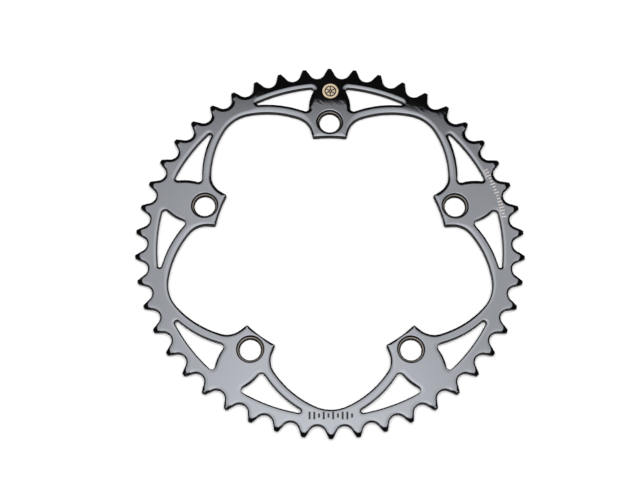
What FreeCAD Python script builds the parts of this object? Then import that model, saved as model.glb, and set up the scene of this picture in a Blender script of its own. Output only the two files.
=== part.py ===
import FreeCAD, Part
import math
import os
import Sketcher

# Bicycle chainring: one flat plate with a turned bore, a toothed rim, five bolt tabs
# joined by curved arms, and a pair of openings between the arms and the rim at each tab.
# The ring's axis is Z, its flat back is the plane Z = 0 and the recessed front faces up.
# The first bolt tab points along +Y.

# Driving sizes in millimetres, degrees and counts.
SIZES = {
    # Chain and plate
    "toothCount": 46,
    "chainPitch": 12.7,
    "rollerDiameter": 7.75,
    "plateThickness": 3.175,
    # Tooth form
    "seatRadius": 4.2,
    "flankAngle": 24.2,
    "toothHeight": 5.97,
    "toothTipRadius": 0.8,
    "toothBevelLength": 2.9,
    "toothBevelDepth": 0.85,
    # Bolt tabs
    "armCount": 5,
    "boltCircleDiameter": 130.0,
    "boltHoleDiameter": 10.1,
    "recessDiameter": 12.5,
    "recessDepth": 1.45,
    "tabEndDistance": 8.0,
    "tabSideDistance": 10.25,
    "tabSideAngle": 14.3,
    "tabCornerRadius": 0.8,
    # Arms between the tabs
    "shoulderRadius": 10.25,
    "armRadius": 47.04,
    "crownRadius": 17.8,
    "crownSweep": 24.4,
    "crownRimWidth": 7.6,
    "armWidth": 4.43,
    # Openings between the arms and the rim
    "windowRimWidth": 4.75,
    "neckHalfWidth": 10.46,
    "neckRadius": 18.4,
    "neckDrop": 11.43,
    "windowOuterCornerRadius": 1.5,
    "windowInnerCornerRadius": 1.75,
    "windowTipRadius": 1.0,
    # Finished edges
    "frontEdgeRadius": 0.6,
    "recessEdgeRadius": 0.35,
    "backEdgeRadius": 0.3,
    "rimBevelWidth": 2.2,
    "rimBevelDepth": 0.22,
    # Clearance of a cut past the faces that it opens
    "cutOverrun": 1.0,
}

# Expressions for what follows from the driving sizes.
HALF_ARM = "180 / Sizes.armCount"
HALF_PITCH = "180 / Sizes.toothCount"
ROOT_RADIUS = (
    "(Sizes.chainPitch / 2 / sin(180 / Sizes.toothCount) - Sizes.rollerDiameter / 2)"
)
TIP_RADIUS = f"({ROOT_RADIUS} + Sizes.toothHeight)"
SEAT_CENTRE = f"({ROOT_RADIUS} + Sizes.seatRadius)"
TAB_END_RADIUS = "(Sizes.boltCircleDiameter / 2 - Sizes.tabEndDistance)"
CROWN_CENTRE = f"({ROOT_RADIUS} - Sizes.crownRimWidth - Sizes.crownRadius)"
ARM_CENTRE_SHIFT = "(Sizes.armRadius - Sizes.crownRadius)"
WINDOW_RADIUS = f"({ROOT_RADIUS} - Sizes.windowRimWidth)"
NECK_CENTRE = f"({WINDOW_RADIUS} - Sizes.neckDrop)"
ARM_BACK_RADIUS = "(Sizes.armRadius + Sizes.armWidth)"

# Angles round the ring's axis at which an opening's rim side starts and ends.
TIP_ANGLE = "WindowProfile.Constraints.tipAngle"
NECK_ANGLE = "WindowProfile.Constraints.neckAngle"

# Numbers that a sketch gives to its two axes, to an edge's ends and centre, and to its
# own origin, which is the start of its first axis.
H_AXIS, V_AXIS = range(-1, -3, -1)
START, END, CENTRE = range(1, 4)
ORIGIN = (H_AXIS, START)

# Lengths in millimetres that differ by less are the same.
SAME_LENGTH = 1e-3


def direction(angle):
    """Unit vector in the sketch plane at an angle in degrees from its first axis."""
    return FreeCAD.Vector(math.cos(math.radians(angle)), math.sin(math.radians(angle)), 0)


def angle_of(vector):
    """Angle of a plane vector in degrees."""
    return math.degrees(math.atan2(vector.y, vector.x))


def across_h(point):
    """Mirror image of a sketch point across the sketch's first axis."""
    return FreeCAD.Vector(point.x, -point.y, 0)


def across_v(point):
    """Mirror image of a sketch point across the sketch's second axis."""
    return FreeCAD.Vector(-point.x, point.y, 0)


def angle_across_v(angle):
    """Mirror image of a direction in degrees across the sketch's second axis."""
    return angle_of(across_v(direction(angle)))


def circles_meet(centre_a, radius_a, centre_b, radius_b, near):
    """The point where two circles cross that lies closer to the point near."""
    across = centre_b - centre_a
    gap = across.Length
    along = (gap * gap + radius_a * radius_a - radius_b * radius_b) / (2 * gap)
    half_chord = math.sqrt(radius_a * radius_a - along * along)
    unit = across / gap
    middle = centre_a + unit * along
    side = FreeCAD.Vector(-unit.y, unit.x, 0) * half_chord
    return min(middle + side, middle - side, key=lambda point: (point - near).Length)


def toward(start, target):
    """Angle in degrees of the line from start to target."""
    return angle_of(target - start)


def value_of(body, expression):
    """Number that an expression of the sheet stands for."""
    return float(body.evalExpression(expression))


def origin_feature(body, role):
    """Plane or axis of the body's own origin."""
    for feature in body.Origin.OriginFeatures:
        if feature.Role == role:
            return feature
    raise ValueError(f"the origin has no {role}")


class PlateSketch:
    """A sketch on one of the body's origin planes, with its sizes bound to the sheet."""

    def __init__(self, body, name, plane="XY_Plane", height=None):
        self.body = body
        self.sketch = body.newObject("Sketcher::SketchObject", name)
        self.sketch.AttachmentSupport = [(origin_feature(body, plane), "")]
        self.sketch.MapMode = "FlatFace"
        if height:
            self.sketch.setExpression("AttachmentOffset.Base.z", height)

    def value(self, expression):
        """Number that an expression of the sheet stands for."""
        return value_of(self.body, expression)

    def line(self, start, end, construction=False):
        """Straight edge from start to end; returns its number."""
        return self.sketch.addGeometry(Part.LineSegment(start, end), construction)

    def arc(self, centre, radius, start_angle, end_angle):
        """Counter-clockwise arc; returns its number."""
        sweep = (end_angle - start_angle) % 360
        circle = Part.Circle(centre, FreeCAD.Vector(0, 0, 1), radius)
        edge = Part.ArcOfCircle(
            circle, math.radians(start_angle), math.radians(start_angle + sweep)
        )
        return self.sketch.addGeometry(edge, False)

    def circle(self, centre, radius, construction=False):
        """Full circle; returns its number."""
        shape = Part.Circle(centre, FreeCAD.Vector(0, 0, 1), radius)
        return self.sketch.addGeometry(shape, construction)

    def hold(self, kind, *where):
        """A constraint that has no size."""
        self.sketch.addConstraint(Sketcher.Constraint(kind, *where))

    def join(self, *ends, smooth=False):
        """Joins two edge ends, given as geometry and end numbers, smoothly if asked."""
        self.hold("Tangent" if smooth else "Coincident", *ends)

    def drive(self, kind, *where, by):
        """A constraint whose size is bound to an expression of the sheet."""
        value = self.value(by)
        if kind == "Angle":
            value = math.radians(value)
            by = f"({by}) * 1deg"
        number = self.sketch.addConstraint(Sketcher.Constraint(kind, *where, value))
        self.sketch.setExpression(f"Constraints[{number}]", by)

    def measure_angle(self, name, arc, centre):
        """Named reading of the angle at which an arc's centre lies round the origin."""
        ray = self.line(FreeCAD.Vector(0, 0, 0), centre, construction=True)
        self.join(ray, START, *ORIGIN)
        self.join(ray, END, arc, CENTRE)
        angle = math.radians(angle_of(centre))
        number = self.sketch.addConstraint(Sketcher.Constraint("Angle", ray, angle))
        self.sketch.setDriving(number, False)
        self.sketch.renameConstraint(number, name)


def blank_profile(body):
    """Half section of the turned blank: flat faces, bore, and bevelled tooth tips."""
    plate = PlateSketch(body, "BlankProfile", plane="XZ_Plane")
    bore = plate.value(TAB_END_RADIUS)
    tip = plate.value(TIP_RADIUS)
    thickness = plate.value("Sizes.plateThickness")
    bevel_length = plate.value("Sizes.toothBevelLength")
    bevel_depth = plate.value("Sizes.toothBevelDepth")
    corners = [
        (bore, 0),
        (tip - bevel_length, 0),
        (tip, bevel_depth),
        (tip, thickness - bevel_depth),
        (tip - bevel_length, thickness),
        (bore, thickness),
    ]
    points = [FreeCAD.Vector(radius, height, 0) for radius, height in corners]
    edges = [plate.line(a, b) for a, b in zip(points, points[1:] + points[:1])]
    back, back_bevel, tip_face, front_bevel, front, bore_face = edges
    for edge, following in zip(edges, edges[1:] + edges[:1]):
        plate.join(edge, END, following, START)
    plate.hold("PointOnObject", back, START, H_AXIS)
    plate.hold("Horizontal", back)
    plate.hold("Horizontal", front)
    plate.hold("Vertical", tip_face)
    plate.hold("Vertical", bore_face)
    plate.drive("DistanceX", *ORIGIN, back, START, by=TAB_END_RADIUS)
    plate.drive("DistanceX", *ORIGIN, tip_face, START, by=TIP_RADIUS)
    plate.drive("DistanceY", *ORIGIN, front, START, by="Sizes.plateThickness")
    for edge, far_end, near_end in ((back_bevel, END, START), (front_bevel, START, END)):
        plate.drive("DistanceX", edge, near_end, edge, far_end, by="Sizes.toothBevelLength")
    plate.drive("DistanceY", back_bevel, START, back_bevel, END, by="Sizes.toothBevelDepth")
    plate.drive("DistanceY", front_bevel, START, front_bevel, END, by="Sizes.toothBevelDepth")
    return plate.sketch


def tooth_gap_profile(body):
    """Gap between two teeth: roller seat, straight flanks and rounded tip corners."""
    plate = PlateSketch(body, "ToothGapProfile")
    seat_radius = plate.value("Sizes.seatRadius")
    corner_radius = plate.value("Sizes.toothTipRadius")
    tip = plate.value(TIP_RADIUS)
    outside = tip + plate.value("Sizes.cutOverrun")
    flank_angle = plate.value(f"{HALF_PITCH} + Sizes.flankAngle")
    centre = FreeCAD.Vector(plate.value(SEAT_CENTRE), 0, 0)
    flank = direction(flank_angle)
    normal = direction(flank_angle + 90)

    # The corner arc touches the flank inside the tooth and the tip circle from within.
    flank_start = centre + normal * seat_radius
    offset_start = flank_start + normal * corner_radius
    reach = tip - corner_radius
    along = offset_start.dot(flank)
    run = -along + math.sqrt(along * along - offset_start.dot(offset_start) + reach * reach)
    flank_end = flank_start + flank * run
    corner_centre = offset_start + flank * run
    corner_top = corner_centre * (tip / reach)
    out_corner = FreeCAD.Vector(outside, corner_top.y, 0)

    corner_angles = (flank_angle - 90, angle_of(corner_centre))
    seat = plate.arc(centre, seat_radius, flank_angle + 90, 270 - flank_angle)
    upper_flank = plate.line(flank_start, flank_end)
    upper_corner = plate.arc(corner_centre, corner_radius, *corner_angles)
    upper_out = plate.line(corner_top, out_corner)
    outer_edge = plate.line(out_corner, across_h(out_corner))
    lower_out = plate.line(across_h(out_corner), across_h(corner_top))
    lower_corner = plate.arc(
        across_h(corner_centre), corner_radius, -corner_angles[1], -corner_angles[0]
    )
    lower_flank = plate.line(across_h(flank_end), across_h(flank_start))
    tip_circle = plate.circle(FreeCAD.Vector(0, 0, 0), tip, construction=True)

    plate.hold("Coincident", tip_circle, CENTRE, *ORIGIN)
    plate.drive("Radius", tip_circle, by=TIP_RADIUS)
    plate.hold("PointOnObject", seat, CENTRE, H_AXIS)
    plate.drive("DistanceX", *ORIGIN, seat, CENTRE, by=SEAT_CENTRE)
    plate.drive("Radius", seat, by="Sizes.seatRadius")
    plate.join(seat, START, upper_flank, START, smooth=True)
    plate.drive("Angle", upper_flank, by=f"{HALF_PITCH} + Sizes.flankAngle")
    plate.join(upper_flank, END, upper_corner, START, smooth=True)
    plate.drive("Radius", upper_corner, by="Sizes.toothTipRadius")
    plate.hold("Tangent", upper_corner, END, tip_circle)
    plate.join(upper_corner, END, upper_out, START)
    plate.hold("Horizontal", upper_out)
    plate.drive("DistanceX", *ORIGIN, upper_out, END, by=f"{TIP_RADIUS} + Sizes.cutOverrun")
    plate.join(upper_out, END, outer_edge, START)
    plate.hold("Vertical", outer_edge)
    plate.join(outer_edge, END, lower_out, START)
    plate.hold("Horizontal", lower_out)
    plate.join(lower_out, END, lower_corner, START)
    plate.hold("Symmetric", upper_corner, END, lower_corner, START, H_AXIS)
    plate.hold("Symmetric", upper_flank, END, lower_flank, START, H_AXIS)
    plate.join(lower_corner, END, lower_flank, START)
    plate.hold("Equal", upper_corner, lower_corner)
    plate.join(lower_flank, END, seat, END, smooth=True)
    return plate.sketch


def arm_centre(plate, axis_angle, side):
    """Centre of the arm's arc beside the lobe whose axis lies at axis_angle."""
    crown = direction(axis_angle) * plate.value(CROWN_CENTRE)
    shift = plate.value(ARM_CENTRE_SHIFT)
    return crown - direction(axis_angle + side * plate.value("Sizes.crownSweep")) * shift


def lobe_profile(body):
    """Open lobe between two tabs, drawn about -Y: crown, arms, shoulders and tab sides."""
    plate = PlateSketch(body, "LobeProfile")
    lobe_axis = 270.0
    half_arm = plate.value(HALF_ARM)
    sweep = plate.value("Sizes.crownSweep")
    crown_radius = plate.value("Sizes.crownRadius")
    arm_radius = plate.value("Sizes.armRadius")
    shoulder_radius = plate.value("Sizes.shoulderRadius")

    # Right half: the tab side is a line at a set distance from the bolt's centre.
    side_angle = lobe_axis + half_arm - plate.value("Sizes.tabSideAngle")
    outward = direction(side_angle)
    into_lobe = direction(side_angle - 90)
    bolt = direction(lobe_axis + half_arm) * plate.value("Sizes.boltCircleDiameter / 2")
    side_point = bolt + into_lobe * plate.value("Sizes.tabSideDistance")
    crown_centre = direction(lobe_axis) * plate.value(CROWN_CENTRE)
    centre = arm_centre(plate, lobe_axis, 1)
    offset_point = side_point + into_lobe * shoulder_radius - centre
    along = offset_point.dot(outward)
    reach = arm_radius - shoulder_radius
    run = -along + math.sqrt(along * along - offset_point.dot(offset_point) + reach * reach)
    shoulder_centre = centre + offset_point + outward * run
    side_end = shoulder_centre - into_lobe * shoulder_radius
    closing_run = side_end.x / outward.x
    closing_point = side_end - outward * closing_run
    shoulder_start = toward(centre, shoulder_centre)

    crown = plate.arc(crown_centre, crown_radius, lobe_axis - sweep, lobe_axis + sweep)
    right_arm = plate.arc(centre, arm_radius, lobe_axis + sweep, shoulder_start)
    right_shoulder = plate.arc(
        shoulder_centre, shoulder_radius, shoulder_start, side_angle + 90
    )
    right_side = plate.line(closing_point, side_end)
    left_side = plate.line(closing_point, across_v(side_end))
    left_end = angle_across_v(shoulder_start)
    left_shoulder = plate.arc(
        across_v(shoulder_centre), shoulder_radius, angle_across_v(side_angle + 90), left_end
    )
    left_arm = plate.arc(across_v(centre), arm_radius, left_end, lobe_axis - sweep)
    tab_axis = plate.line(FreeCAD.Vector(0, 0, 0), bolt, construction=True)

    plate.drive("Radius", crown, by="Sizes.crownRadius")
    plate.drive("Radius", right_arm, by="Sizes.armRadius")
    plate.drive("Radius", right_shoulder, by="Sizes.shoulderRadius")
    plate.drive("DistanceY", crown, CENTRE, *ORIGIN, by=CROWN_CENTRE)
    plate.drive(
        "DistanceX", right_arm, CENTRE, *ORIGIN, by=f"{ARM_CENTRE_SHIFT} * sin(Sizes.crownSweep)"
    )
    plate.join(tab_axis, START, *ORIGIN)
    plate.drive("Angle", tab_axis, by=f"{HALF_ARM} - 90")
    plate.drive("Distance", tab_axis, by="Sizes.boltCircleDiameter / 2")
    plate.drive("Distance", tab_axis, END, right_side, by="Sizes.tabSideDistance")
    plate.drive("Angle", right_side, by=f"{HALF_ARM} - 90 - Sizes.tabSideAngle")
    plate.hold("PointOnObject", right_side, START, V_AXIS)
    plate.join(crown, END, right_arm, START, smooth=True)
    plate.join(right_arm, END, right_shoulder, START, smooth=True)
    plate.join(right_shoulder, END, right_side, END, smooth=True)
    plate.join(left_side, START, right_side, START)
    plate.join(left_side, END, left_shoulder, START)
    plate.join(left_shoulder, END, left_arm, START)
    plate.join(left_arm, END, crown, START)
    plate.hold("Symmetric", right_side, END, left_side, END, V_AXIS)
    plate.hold("Symmetric", right_shoulder, START, left_shoulder, END, V_AXIS)
    plate.hold("Symmetric", right_arm, START, left_arm, END, V_AXIS)
    plate.hold("Equal", right_arm, left_arm)
    plate.hold("Equal", right_shoulder, left_shoulder)
    return plate.sketch


def neck_centre(plate):
    """Centre of the arc that narrows the tab at +Y outwards, on its right side."""
    across = plate.value("Sizes.neckHalfWidth - Sizes.neckRadius")
    return FreeCAD.Vector(across, plate.value(NECK_CENTRE), 0)


def window_profile(body):
    """Opening right of the tab at +Y, between the tab's neck, the arm and the rim."""
    plate = PlateSketch(body, "WindowProfile")
    lobe_axis = 90.0 - plate.value(HALF_ARM)
    rim_radius = plate.value(WINDOW_RADIUS)
    arm_radius = plate.value(ARM_BACK_RADIUS)
    neck_radius = plate.value("Sizes.neckRadius")
    outer_round = plate.value("Sizes.windowOuterCornerRadius")
    inner_round = plate.value("Sizes.windowInnerCornerRadius")
    tip_round = plate.value("Sizes.windowTipRadius")
    origin = FreeCAD.Vector(0, 0, 0)
    arm = arm_centre(plate, lobe_axis, 1)
    neck = neck_centre(plate)
    beside_neck = neck + FreeCAD.Vector(neck_radius, 0, 0)

    outer_corner = circles_meet(
        origin, rim_radius - outer_round, neck, neck_radius + outer_round, direction(90) * rim_radius
    )
    inner_corner = circles_meet(
        arm, arm_radius + inner_round, neck, neck_radius + inner_round, beside_neck
    )
    tip = circles_meet(
        origin, rim_radius - tip_round, arm, arm_radius + tip_round, direction(lobe_axis) * rim_radius
    )

    rim_edge = plate.arc(origin, rim_radius, angle_of(tip), angle_of(outer_corner))
    outer_fillet = plate.arc(
        outer_corner, outer_round, angle_of(outer_corner), toward(outer_corner, neck)
    )
    neck_edge = plate.arc(
        neck, neck_radius, toward(neck, inner_corner), toward(neck, outer_corner)
    )
    inner_fillet = plate.arc(
        inner_corner, inner_round, toward(inner_corner, neck), toward(inner_corner, arm)
    )
    arm_edge = plate.arc(arm, arm_radius, toward(arm, tip), toward(arm, inner_corner))
    tip_fillet = plate.arc(tip, tip_round, toward(tip, arm), angle_of(tip))

    arm_x = (
        f"{CROWN_CENTRE} * sin({HALF_ARM})"
        f" - {ARM_CENTRE_SHIFT} * sin({HALF_ARM} - Sizes.crownSweep)"
    )
    arm_y = (
        f"{CROWN_CENTRE} * cos({HALF_ARM})"
        f" - {ARM_CENTRE_SHIFT} * cos({HALF_ARM} - Sizes.crownSweep)"
    )
    plate.join(rim_edge, CENTRE, *ORIGIN)
    plate.drive("Radius", rim_edge, by=WINDOW_RADIUS)
    plate.drive("DistanceX", *ORIGIN, arm_edge, CENTRE, by=arm_x)
    plate.drive("DistanceY", *ORIGIN, arm_edge, CENTRE, by=arm_y)
    plate.drive("Radius", arm_edge, by=ARM_BACK_RADIUS)
    plate.drive(
        "DistanceX", neck_edge, CENTRE, *ORIGIN, by="Sizes.neckRadius - Sizes.neckHalfWidth"
    )
    plate.drive("DistanceY", *ORIGIN, neck_edge, CENTRE, by=NECK_CENTRE)
    plate.drive("Radius", neck_edge, by="Sizes.neckRadius")
    plate.drive("Radius", outer_fillet, by="Sizes.windowOuterCornerRadius")
    plate.drive("Radius", inner_fillet, by="Sizes.windowInnerCornerRadius")
    plate.drive("Radius", tip_fillet, by="Sizes.windowTipRadius")
    plate.join(rim_edge, END, outer_fillet, START, smooth=True)
    plate.join(outer_fillet, END, neck_edge, END, smooth=True)
    plate.join(neck_edge, START, inner_fillet, START, smooth=True)
    plate.join(inner_fillet, END, arm_edge, END, smooth=True)
    plate.join(arm_edge, START, tip_fillet, START, smooth=True)
    plate.join(tip_fillet, END, rim_edge, START, smooth=True)
    plate.measure_angle("neckAngle", outer_fillet, outer_corner)
    plate.measure_angle("tipAngle", tip_fillet, tip)
    return plate.sketch


def bolt_profile(body):
    """Centre of the bolt hole on the front face of the tab at +Y."""
    plate = PlateSketch(body, "BoltProfile", height="Sizes.plateThickness")
    centre = direction(90) * plate.value("Sizes.boltCircleDiameter / 2")
    hole = plate.circle(centre, plate.value("Sizes.boltHoleDiameter / 2"))
    plate.hold("PointOnObject", hole, CENTRE, V_AXIS)
    plate.drive("DistanceY", *ORIGIN, hole, CENTRE, by="Sizes.boltCircleDiameter / 2")
    plate.drive("Diameter", hole, by="Sizes.boltHoleDiameter")
    return plate.sketch


def pocket_through(body, name, sketch):
    """Cut of a sketch on the back face through the whole plate."""
    pocket = body.newObject("PartDesign::Pocket", name)
    pocket.Profile = sketch
    pocket.Reversed = True
    pocket.Type = "Length"
    pocket.setExpression("Length", "Sizes.plateThickness + Sizes.cutOverrun")
    return pocket


def ring_pattern(body, name, count):
    """Even spacing of count copies round the ring's axis."""
    pattern = body.newObject("PartDesign::PolarPattern", name)
    pattern.Axis = (origin_feature(body, "Z_Axis"), [""])
    pattern.Angle = 360
    pattern.setExpression("Occurrences", count)
    return pattern


def ring_of(body, name, feature, count):
    """Copies of a feature, evenly spaced round the ring's axis."""
    pattern = ring_pattern(body, name, count)
    pattern.Originals = [feature]
    body.Tip = pattern
    return pattern


def mirrored_ring_of(body, name, feature, count):
    """Copies of a feature and of its image across the tab at +Y, round the ring's axis."""
    transform = body.newObject("PartDesign::MultiTransform", name)
    mirror = body.newObject("PartDesign::Mirrored", f"{name}Mirror")
    mirror.MirrorPlane = (origin_feature(body, "YZ_Plane"), [""])
    transform.Originals = [feature]
    transform.Transformations = [mirror, ring_pattern(body, f"{name}Copies", count)]
    body.Tip = transform
    return transform


def edges_where(shape, wanted):
    """Names of the edges for which wanted is true."""
    return [f"Edge{number}" for number, edge in enumerate(shape.Edges, 1) if wanted(edge)]


def lies_at(edge, height):
    """True for an edge that lies in the plane at a height."""
    box = edge.BoundBox
    return abs(box.ZMin - height) < SAME_LENGTH and abs(box.ZMax - height) < SAME_LENGTH


def is_circle(edge, radius):
    """True for an edge that is a whole circle of a radius."""
    return edge.isClosed() and abs(edge.Length - 2 * math.pi * radius) < SAME_LENGTH


def reach_of(edge):
    """Largest distance of an edge's ends from the ring's axis."""
    return max(math.hypot(vertex.X, vertex.Y) for vertex in edge.Vertexes)


def is_tab_corner(edge, bore):
    """True for the upright edges where a tab's sides meet the bore."""
    upright = edge.BoundBox.ZLength > edge.Length - SAME_LENGTH
    return upright and abs(reach_of(edge) - bore) < SAME_LENGTH


def fillet(body, name, base, edges, radius):
    """Rounds edges of the feature base, and brings the body up to date."""
    rounding = body.newObject("PartDesign::Fillet", name)
    rounding.Base = (base, edges)
    rounding.setExpression("Radius", radius)
    body.Tip = rounding
    body.Document.recompute()
    return rounding


def rim_bevel_profile(body):
    """Triangle cut by the shallow bevel on the front, at the rim side of the windows."""
    plate = PlateSketch(body, "RimBevelProfile", plane="XZ_Plane")
    inside = plate.value(WINDOW_RADIUS)
    outside = plate.value(f"{WINDOW_RADIUS} + Sizes.rimBevelWidth")
    front = plate.value("Sizes.plateThickness")
    low = plate.value("Sizes.plateThickness - Sizes.rimBevelDepth")
    corners = [(inside, low), (outside, front), (inside, front)]
    points = [FreeCAD.Vector(radius, height, 0) for radius, height in corners]
    slope, top, wall = [plate.line(a, b) for a, b in zip(points, points[1:] + points[:1])]
    plate.join(slope, END, top, START)
    plate.join(top, END, wall, START)
    plate.join(wall, END, slope, START)
    plate.hold("Horizontal", top)
    plate.hold("Vertical", wall)
    plate.drive("DistanceX", *ORIGIN, wall, END, by=WINDOW_RADIUS)
    plate.drive("DistanceX", wall, END, slope, END, by="Sizes.rimBevelWidth")
    plate.drive("DistanceY", slope, START, slope, END, by="Sizes.rimBevelDepth")
    plate.drive("DistanceY", *ORIGIN, top, START, by="Sizes.plateThickness")
    turn = FreeCAD.Rotation(FreeCAD.Vector(0, 1, 0), plate.value(TIP_ANGLE))
    plate.sketch.AttachmentOffset = FreeCAD.Placement(FreeCAD.Vector(0, 0, 0), turn)
    plate.sketch.setExpression("AttachmentOffset.Rotation.Angle", TIP_ANGLE)
    return plate.sketch


def finish_edges(body, base):
    """Rounds the tab corners, the front and back edges of the openings and the recesses."""
    bore = value_of(body, TAB_END_RADIUS)
    front = value_of(body, "Sizes.plateThickness")
    recess = value_of(body, "Sizes.recessDiameter / 2")
    openings = value_of(body, WINDOW_RADIUS) + SAME_LENGTH

    def bounds_opening(edge, height):
        return lies_at(edge, height) and reach_of(edge) < openings and not edge.isClosed()

    corners = edges_where(base.Shape, lambda edge: is_tab_corner(edge, bore))
    tabs = fillet(body, "TabCorners", base, corners, "Sizes.tabCornerRadius")
    upper = edges_where(tabs.Shape, lambda edge: bounds_opening(edge, front))
    fronts = fillet(body, "FrontEdges", tabs, upper, "Sizes.frontEdgeRadius")
    lower = edges_where(fronts.Shape, lambda edge: bounds_opening(edge, 0))
    backs = fillet(body, "BackEdges", fronts, lower, "Sizes.backEdgeRadius")
    lips = edges_where(
        backs.Shape, lambda edge: lies_at(edge, front) and is_circle(edge, recess)
    )
    return fillet(body, "RecessEdges", backs, lips, "Sizes.recessEdgeRadius")


def make_chainring(doc):
    """The chainring as one solid body."""
    body = doc.addObject("PartDesign::Body", "chainring")
    body.Label = "chainring"
    doc.recompute()

    blank = body.newObject("PartDesign::Revolution", "Blank")
    blank.Profile = blank_profile(body)
    blank.ReferenceAxis = (origin_feature(body, "Z_Axis"), [""])
    blank.Angle = 360

    lobe = pocket_through(body, "Lobe", lobe_profile(body))
    ring_of(body, "Lobes", lobe, "Sizes.armCount")
    window = pocket_through(body, "Window", window_profile(body))
    mirrored_ring_of(body, "Windows", window, "Sizes.armCount")
    doc.recompute()

    bolt = body.newObject("PartDesign::Hole", "BoltHole")
    bolt.Profile = bolt_profile(body)
    doc.recompute()
    bolt.DepthType = "ThroughAll"
    bolt.HoleCutType = "Counterbore"
    bolt.HoleCutCustomValues = True
    bolt.setExpression("Diameter", "Sizes.boltHoleDiameter")
    bolt.setExpression("HoleCutDiameter", "Sizes.recessDiameter")
    bolt.setExpression("HoleCutDepth", "Sizes.recessDepth")
    bolts = ring_of(body, "BoltHoles", bolt, "Sizes.armCount")
    doc.recompute()

    finish_edges(body, bolts)
    bevel = body.newObject("PartDesign::Groove", "RimBevel")
    bevel.Profile = rim_bevel_profile(body)
    bevel.ReferenceAxis = (origin_feature(body, "Z_Axis"), [""])
    bevel.setExpression("Angle", f"{NECK_ANGLE} - {TIP_ANGLE}")
    mirrored_ring_of(body, "RimBevels", bevel, "Sizes.armCount")
    doc.recompute()

    gap = pocket_through(body, "ToothGap", tooth_gap_profile(body))
    ring_of(body, "Teeth", gap, "Sizes.toothCount")
    doc.recompute()
    return body


def check(doc, body):
    """Stops unless every feature built and the body is one valid solid."""
    for item in doc.Objects:
        if {"Invalid", "Error"} & set(item.State):
            raise RuntimeError(f"{item.Label} did not build: {item.State}")
        if item.isDerivedFrom("Sketcher::SketchObject") and not item.FullyConstrained:
            raise RuntimeError(f"{item.Label} is not fully constrained")
    shape = body.Shape
    if shape.isNull() or not shape.isValid() or len(shape.Solids) != 1:
        raise RuntimeError("the chainring is not one valid solid")


doc = FreeCAD.newDocument("Chainring")
sheet = doc.addObject("Spreadsheet::Sheet", "Sizes")
for row, (alias, number) in enumerate(SIZES.items(), 1):
    sheet.set(f"A{row}", alias)
    sheet.set(f"B{row}", str(number))
    sheet.setAlias(f"B{row}", alias)
doc.recompute()

chainring = make_chainring(doc)
check(doc, chainring)
print("volume, cubic mm:", round(chainring.Shape.Volume, 1))

os.makedirs("parts", exist_ok=True)
chainring.Shape.exportStep("parts/chainring.step")
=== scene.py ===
import math
import random

import bpy
import numpy as np
from mathutils import Matrix, Vector
from mathutils.geometry import delaunay_2d_cdt


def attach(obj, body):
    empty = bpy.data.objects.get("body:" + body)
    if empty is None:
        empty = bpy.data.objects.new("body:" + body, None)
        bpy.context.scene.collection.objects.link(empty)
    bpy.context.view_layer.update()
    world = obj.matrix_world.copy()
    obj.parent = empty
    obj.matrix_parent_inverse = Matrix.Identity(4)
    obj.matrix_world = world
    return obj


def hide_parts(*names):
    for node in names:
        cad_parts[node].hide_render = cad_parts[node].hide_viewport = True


# Polished black chainring, lying on its back face with the recessed front up. The ring's
# axis is Z and the first bolt tab points along +Y. Outlines are worked out in millimetres
# and turned into metres when a mesh is made.

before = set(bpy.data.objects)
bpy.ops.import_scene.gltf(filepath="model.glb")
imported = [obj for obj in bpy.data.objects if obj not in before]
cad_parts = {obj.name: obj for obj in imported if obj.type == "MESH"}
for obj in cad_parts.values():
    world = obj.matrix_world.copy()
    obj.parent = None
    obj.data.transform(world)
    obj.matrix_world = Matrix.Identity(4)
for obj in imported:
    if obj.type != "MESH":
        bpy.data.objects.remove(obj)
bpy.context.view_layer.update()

MM = 0.001

# Plate and teeth
THICKNESS = 3.175
TOOTH_COUNT = 46
CHAIN_PITCH = 12.7
ROLLER_DIAMETER = 7.75
SEAT_RADIUS = 4.2
FLANK_ANGLE = 24.2
TOOTH_HEIGHT = 5.97
TOOTH_TIP_RADIUS = 0.8
TIP_BEVEL_LENGTH = 2.9
TIP_BEVEL_DEPTH = 0.85
TIP_CREASE_HALF_WIDTH = 0.35

# Bolt tabs
TAB_COUNT = 5
BOLT_CIRCLE_RADIUS = 65.0
BOLT_HOLE_RADIUS = 5.05
RECESS_RADIUS = 6.25
RECESS_DEPTH = 1.45
TAB_END_RADIUS = 57.0
TAB_SIDE_DISTANCE = 10.25
TAB_SIDE_ANGLE = 14.3
TAB_CORNER_RADIUS = 0.8

# Lobes and arms
SHOULDER_RADIUS = 10.25
ARM_RADIUS = 47.04
CROWN_RADIUS = 17.8
CROWN_SWEEP = 24.4
CROWN_RIM_WIDTH = 7.6
ARM_WIDTH = 4.43

# Openings between the arms and the rim
WINDOW_RIM_WIDTH = 4.75
NECK_HALF_WIDTH = 10.46
NECK_RADIUS = 18.4
NECK_DROP = 11.43
WINDOW_OUTER_CORNER = 1.5
WINDOW_INNER_CORNER = 1.75
WINDOW_TIP_RADIUS = 1.0

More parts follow.
